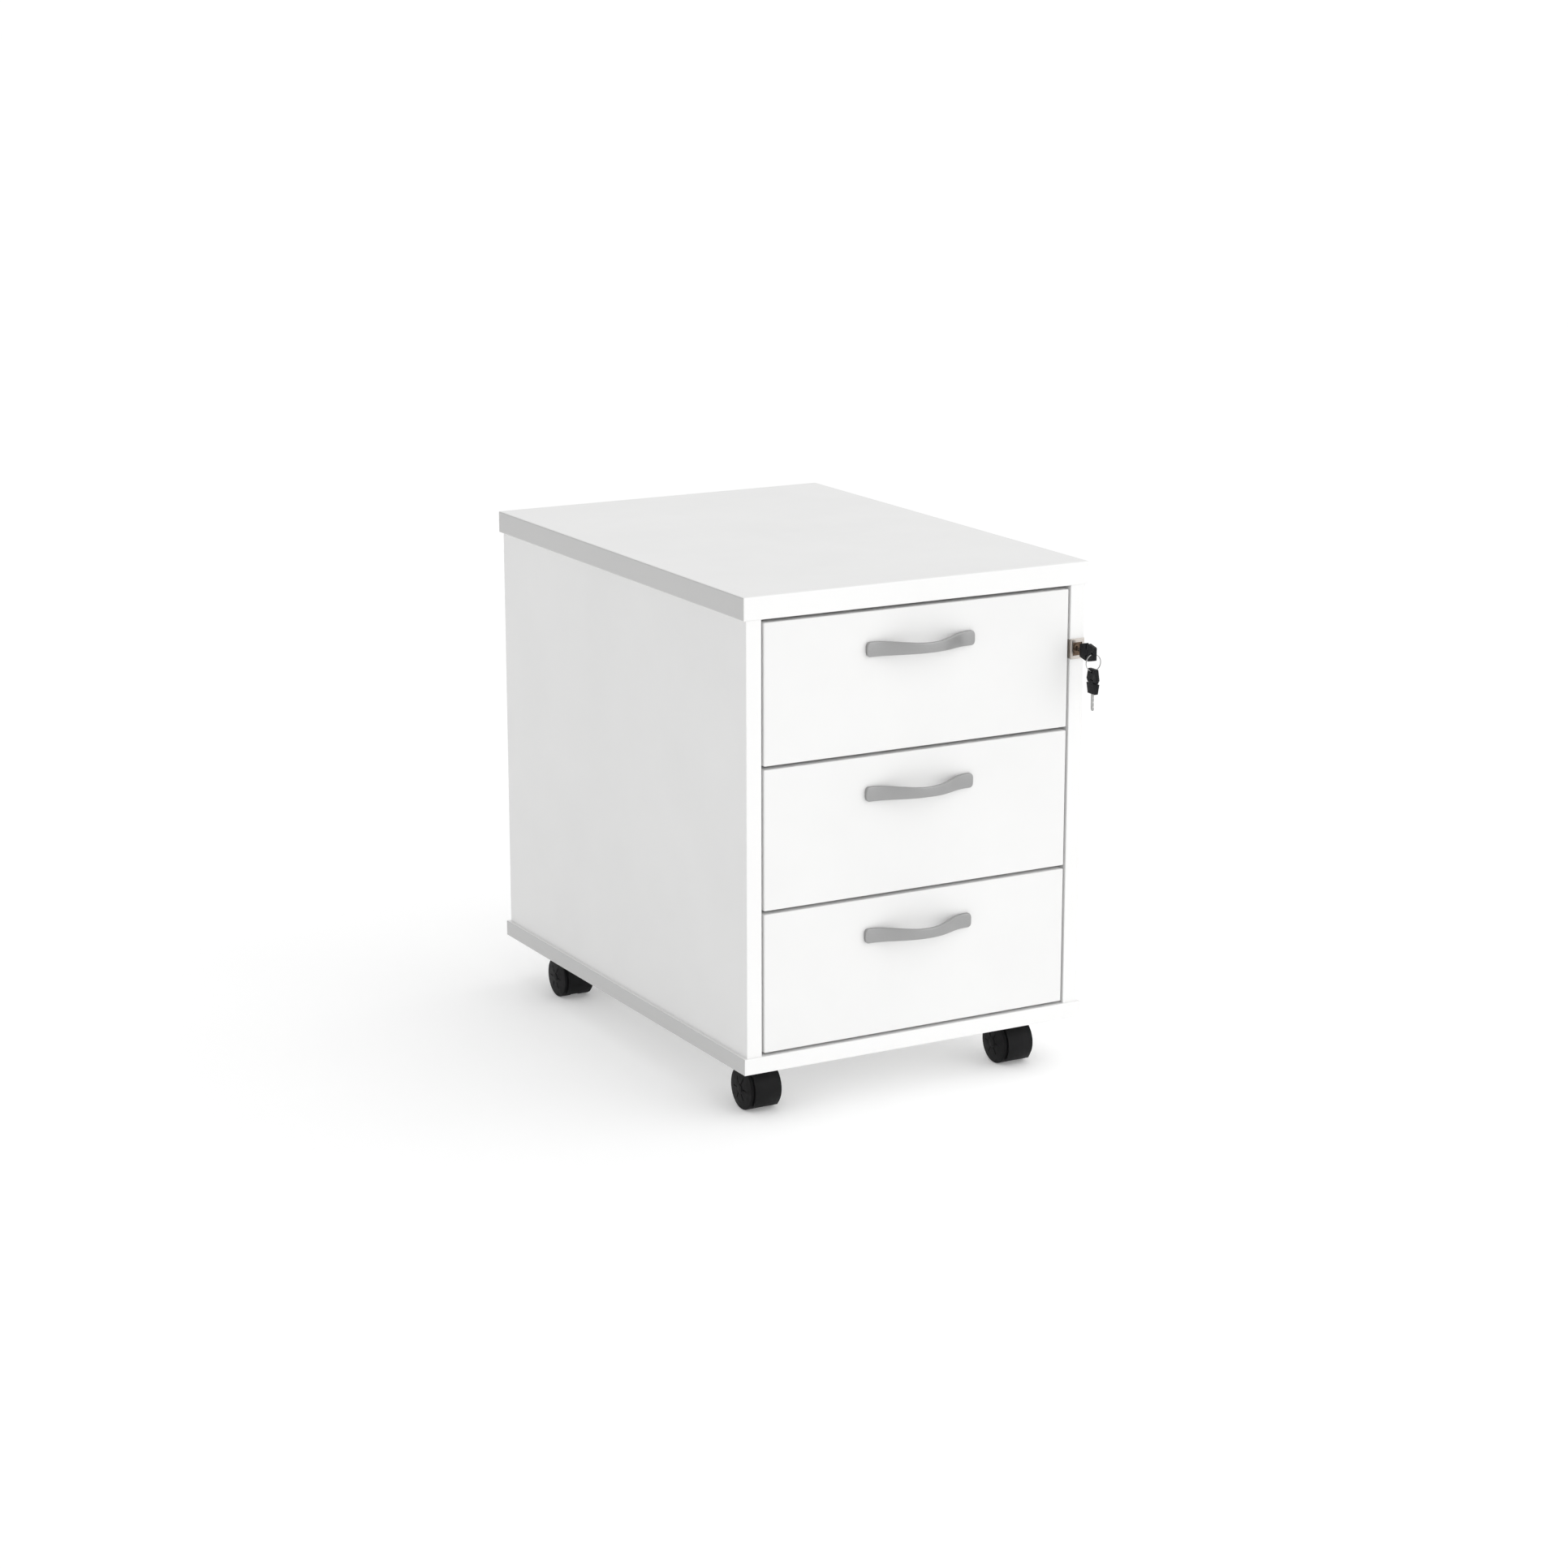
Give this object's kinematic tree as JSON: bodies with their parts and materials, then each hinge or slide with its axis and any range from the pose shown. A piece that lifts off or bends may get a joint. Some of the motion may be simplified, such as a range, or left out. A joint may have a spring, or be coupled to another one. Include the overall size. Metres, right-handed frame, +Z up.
{
  "type": "mobile drawer pedestal",
  "caption": "White under-desk drawer pedestal on swivelling twin-wheel castors, with bow handles, roller runners and a side-panel lock with folding key.",
  "frame": {"origin": "on the floor, at the middle of the whole object's box", "axes": "+X to the right along the drawer fronts, +Y from front to back, +Z up"},
  "size_m": [0.426, 0.6406, 0.57],
  "materials": {
    "top_board": "white melamine-faced board with matching edging",
    "carcass_board": "white melamine-faced board with matching edging",
    "front_board": "white melamine-faced board with matching edging",
    "drawer_board": "pale faced board",
    "satin_handle": "satin nickel, fine grain along the bar",
    "coated_steel": "pale epoxy-coated sheet steel",
    "zinc_steel": "zinc-plated steel",
    "white_nylon": "white nylon",
    "lock_nickel": "warm satin nickel plate",
    "lock_bronze": "dark bronze lock cylinder",
    "key_steel": "bright nickel-plated steel",
    "key_plastic": "black moulded plastic",
    "castor_hood": "black moulded nylon",
    "castor_wheel": "black moulded nylon"
  },
  "bodies": {
    "carcass": {"top_panel": "top_board", "base_panel": "carcass_board", "left_side_panel": "carcass_board", "right_side_panel": "carcass_board", "back_panel": "carcass_board", "carcass_fixings": "zinc_steel", "drawer_runners": "coated_steel", "lock_housing": "lock_nickel", "castor_plates": "zinc_steel"},
    "upper_drawer": {"upper_drawer_front": "front_board", "upper_drawer_handle": "satin_handle", "upper_drawer_left_side": "coated_steel", "upper_drawer_right_side": "coated_steel", "upper_drawer_bottom": "drawer_board", "upper_drawer_back": "drawer_board", "upper_drawer_fasteners": "zinc_steel"},
    "upper_front_rollers": {"upper_front_rollers": "white_nylon"},
    "upper_rear_rollers": {"upper_rear_rollers": "white_nylon"},
    "middle_drawer": {"middle_drawer_front": "front_board", "middle_drawer_handle": "satin_handle", "middle_drawer_left_side": "coated_steel", "middle_drawer_right_side": "coated_steel", "middle_drawer_bottom": "drawer_board", "middle_drawer_back": "drawer_board", "middle_drawer_fasteners": "zinc_steel"},
    "middle_front_rollers": {"middle_front_rollers": "white_nylon"},
    "middle_rear_rollers": {"middle_rear_rollers": "white_nylon"},
    "lower_drawer": {"lower_drawer_front": "front_board", "lower_drawer_handle": "satin_handle", "lower_drawer_left_side": "coated_steel", "lower_drawer_right_side": "coated_steel", "lower_drawer_bottom": "drawer_board", "lower_drawer_back": "drawer_board", "lower_drawer_fasteners": "zinc_steel"},
    "lower_front_rollers": {"lower_front_rollers": "white_nylon"},
    "lower_rear_rollers": {"lower_rear_rollers": "white_nylon"},
    "lock_cylinder": {"lock_cylinder": "lock_bronze"},
    "locking_bar": {"locking_bar": "zinc_steel"},
    "key": {"key_blade": "key_steel", "key_inner_head": "key_plastic"},
    "key_outer_head": {"key_outer_head": "key_plastic"},
    "key_ring": {"key_ring": "key_steel"},
    "spare_key": {"spare_key_blade": "key_steel", "spare_key_head": "key_plastic"},
    "front_left_castor": {"front_left_castor_hood": "castor_hood", "front_left_castor_axle": "zinc_steel"},
    "front_left_castor_left_wheel": {"front_left_castor_left_wheel": "castor_wheel"},
    "front_left_castor_right_wheel": {"front_left_castor_right_wheel": "castor_wheel"},
    "front_right_castor": {"front_right_castor_hood": "castor_hood", "front_right_castor_axle": "zinc_steel"},
    "front_right_castor_left_wheel": {"front_right_castor_left_wheel": "castor_wheel"},
    "front_right_castor_right_wheel": {"front_right_castor_right_wheel": "castor_wheel"},
    "rear_left_castor": {"rear_left_castor_hood": "castor_hood", "rear_left_castor_axle": "zinc_steel"},
    "rear_left_castor_left_wheel": {"rear_left_castor_left_wheel": "castor_wheel"},
    "rear_left_castor_right_wheel": {"rear_left_castor_right_wheel": "castor_wheel"},
    "rear_right_castor": {"rear_right_castor_hood": "castor_hood", "rear_right_castor_axle": "zinc_steel"},
    "rear_right_castor_left_wheel": {"rear_right_castor_left_wheel": "castor_wheel"},
    "rear_right_castor_right_wheel": {"rear_right_castor_right_wheel": "castor_wheel"}
  },
  "joints": [
    {"name": "upper_drawer_slide", "type": "slide", "parent": "carcass", "child": "upper_drawer", "axis": [0, -1, 0], "range_m": [0, 0.375]},
    {"name": "upper_front_rollers_spin", "type": "hinge", "parent": "carcass", "child": "upper_front_rollers", "pos_m": [0, -0.2477, 0.41433], "axis": [1, 0, 0], "range_deg": [0, 2530]},
    {"name": "upper_rear_rollers_spin", "type": "hinge", "parent": "upper_drawer", "child": "upper_rear_rollers", "pos_m": [0, 0.2243, 0.41433], "axis": [1, 0, 0], "range_deg": [0, 2530]},
    {"name": "middle_drawer_slide", "type": "slide", "parent": "carcass", "child": "middle_drawer", "axis": [0, -1, 0], "range_m": [0, 0.375]},
    {"name": "middle_front_rollers_spin", "type": "hinge", "parent": "carcass", "child": "middle_front_rollers", "pos_m": [0, -0.2477, 0.25767], "axis": [1, 0, 0], "range_deg": [0, 2530]},
    {"name": "middle_rear_rollers_spin", "type": "hinge", "parent": "middle_drawer", "child": "middle_rear_rollers", "pos_m": [0, 0.2243, 0.25767], "axis": [1, 0, 0], "range_deg": [0, 2530]},
    {"name": "lower_drawer_slide", "type": "slide", "parent": "carcass", "child": "lower_drawer", "axis": [0, -1, 0], "range_m": [0, 0.375]},
    {"name": "lower_front_rollers_spin", "type": "hinge", "parent": "carcass", "child": "lower_front_rollers", "pos_m": [0, -0.2477, 0.101], "axis": [1, 0, 0], "range_deg": [0, 2530]},
    {"name": "lower_rear_rollers_spin", "type": "hinge", "parent": "lower_drawer", "child": "lower_rear_rollers", "pos_m": [0, 0.2243, 0.101], "axis": [1, 0, 0], "range_deg": [0, 2530]},
    {"name": "lock_turn", "type": "hinge", "parent": "carcass", "child": "lock_cylinder", "pos_m": [0.1996, -0.2777, 0.4743], "axis": [0, -1, 0], "range_deg": [0, 90]},
    {"name": "locking_bar_drop", "type": "slide", "parent": "carcass", "child": "locking_bar", "axis": [0, 0, -1], "range_m": [0, 0.00566]},
    {"name": "key_withdraw", "type": "slide", "parent": "lock_cylinder", "child": "key", "axis": [0, -1, 0], "range_m": [0, 0.014]},
    {"name": "key_fold", "type": "hinge", "parent": "key", "child": "key_outer_head", "pos_m": [0.1996, -0.30015, 0.4743], "axis": [0, 0, 1], "range_deg": [0, 90]},
    {"name": "key_ring_swing", "type": "hinge", "parent": "key_outer_head", "child": "key_ring", "pos_m": [0.1996, -0.3105, 0.4737], "axis": [1, 0, 0], "range_deg": [-60, 15]},
    {"name": "spare_key_swing", "type": "hinge", "parent": "key_ring", "child": "spare_key", "pos_m": [0.1996, -0.3105, 0.45449], "axis": [1, 0, 0], "range_deg": [-60, 10]},
    {"name": "front_left_castor_swivel", "type": "hinge", "parent": "carcass", "child": "front_left_castor", "pos_m": [-0.1745, -0.2147, 0.054], "axis": [0, 0, 1], "continuous": true},
    {"name": "front_left_castor_left_wheel_spin", "type": "hinge", "parent": "front_left_castor", "child": "front_left_castor_left_wheel", "pos_m": [-0.1745, -0.2347, 0.024], "axis": [1, 0, 0], "continuous": true},
    {"name": "front_left_castor_right_wheel_spin", "type": "hinge", "parent": "front_left_castor", "child": "front_left_castor_right_wheel", "pos_m": [-0.1745, -0.2347, 0.024], "axis": [1, 0, 0], "continuous": true},
    {"name": "front_right_castor_swivel", "type": "hinge", "parent": "carcass", "child": "front_right_castor", "pos_m": [0.1465, -0.2147, 0.054], "axis": [0, 0, 1], "continuous": true},
    {"name": "front_right_castor_left_wheel_spin", "type": "hinge", "parent": "front_right_castor", "child": "front_right_castor_left_wheel", "pos_m": [0.1465, -0.2347, 0.024], "axis": [1, 0, 0], "continuous": true},
    {"name": "front_right_castor_right_wheel_spin", "type": "hinge", "parent": "front_right_castor", "child": "front_right_castor_right_wheel", "pos_m": [0.1465, -0.2347, 0.024], "axis": [1, 0, 0], "continuous": true},
    {"name": "rear_left_castor_swivel", "type": "hinge", "parent": "carcass", "child": "rear_left_castor", "pos_m": [-0.1745, 0.2443, 0.054], "axis": [0, 0, 1], "continuous": true},
    {"name": "rear_left_castor_left_wheel_spin", "type": "hinge", "parent": "rear_left_castor", "child": "rear_left_castor_left_wheel", "pos_m": [-0.1745, 0.2243, 0.024], "axis": [1, 0, 0], "continuous": true},
    {"name": "rear_left_castor_right_wheel_spin", "type": "hinge", "parent": "rear_left_castor", "child": "rear_left_castor_right_wheel", "pos_m": [-0.1745, 0.2243, 0.024], "axis": [1, 0, 0], "continuous": true},
    {"name": "rear_right_castor_swivel", "type": "hinge", "parent": "carcass", "child": "rear_right_castor", "pos_m": [0.1465, 0.2443, 0.054], "axis": [0, 0, 1], "continuous": true},
    {"name": "rear_right_castor_left_wheel_spin", "type": "hinge", "parent": "rear_right_castor", "child": "rear_right_castor_left_wheel", "pos_m": [0.1465, 0.2243, 0.024], "axis": [1, 0, 0], "continuous": true},
    {"name": "rear_right_castor_right_wheel_spin", "type": "hinge", "parent": "rear_right_castor", "child": "rear_right_castor_right_wheel", "pos_m": [0.1465, 0.2243, 0.024], "axis": [1, 0, 0], "continuous": true}
  ],
  "couplings": [
    {"joint": "upper_front_rollers_spin", "follows": "upper_drawer_slide", "rad_per_m": 117.65},
    {"joint": "upper_rear_rollers_spin", "follows": "upper_drawer_slide", "rad_per_m": 117.65},
    {"joint": "middle_front_rollers_spin", "follows": "middle_drawer_slide", "rad_per_m": 117.65},
    {"joint": "middle_rear_rollers_spin", "follows": "middle_drawer_slide", "rad_per_m": 117.65},
    {"joint": "lower_front_rollers_spin", "follows": "lower_drawer_slide", "rad_per_m": 117.65},
    {"joint": "lower_rear_rollers_spin", "follows": "lower_drawer_slide", "rad_per_m": 117.65},
    {"joint": "lock_turn", "follows": "locking_bar_drop", "rad_per_m": 277.68}
  ]
}
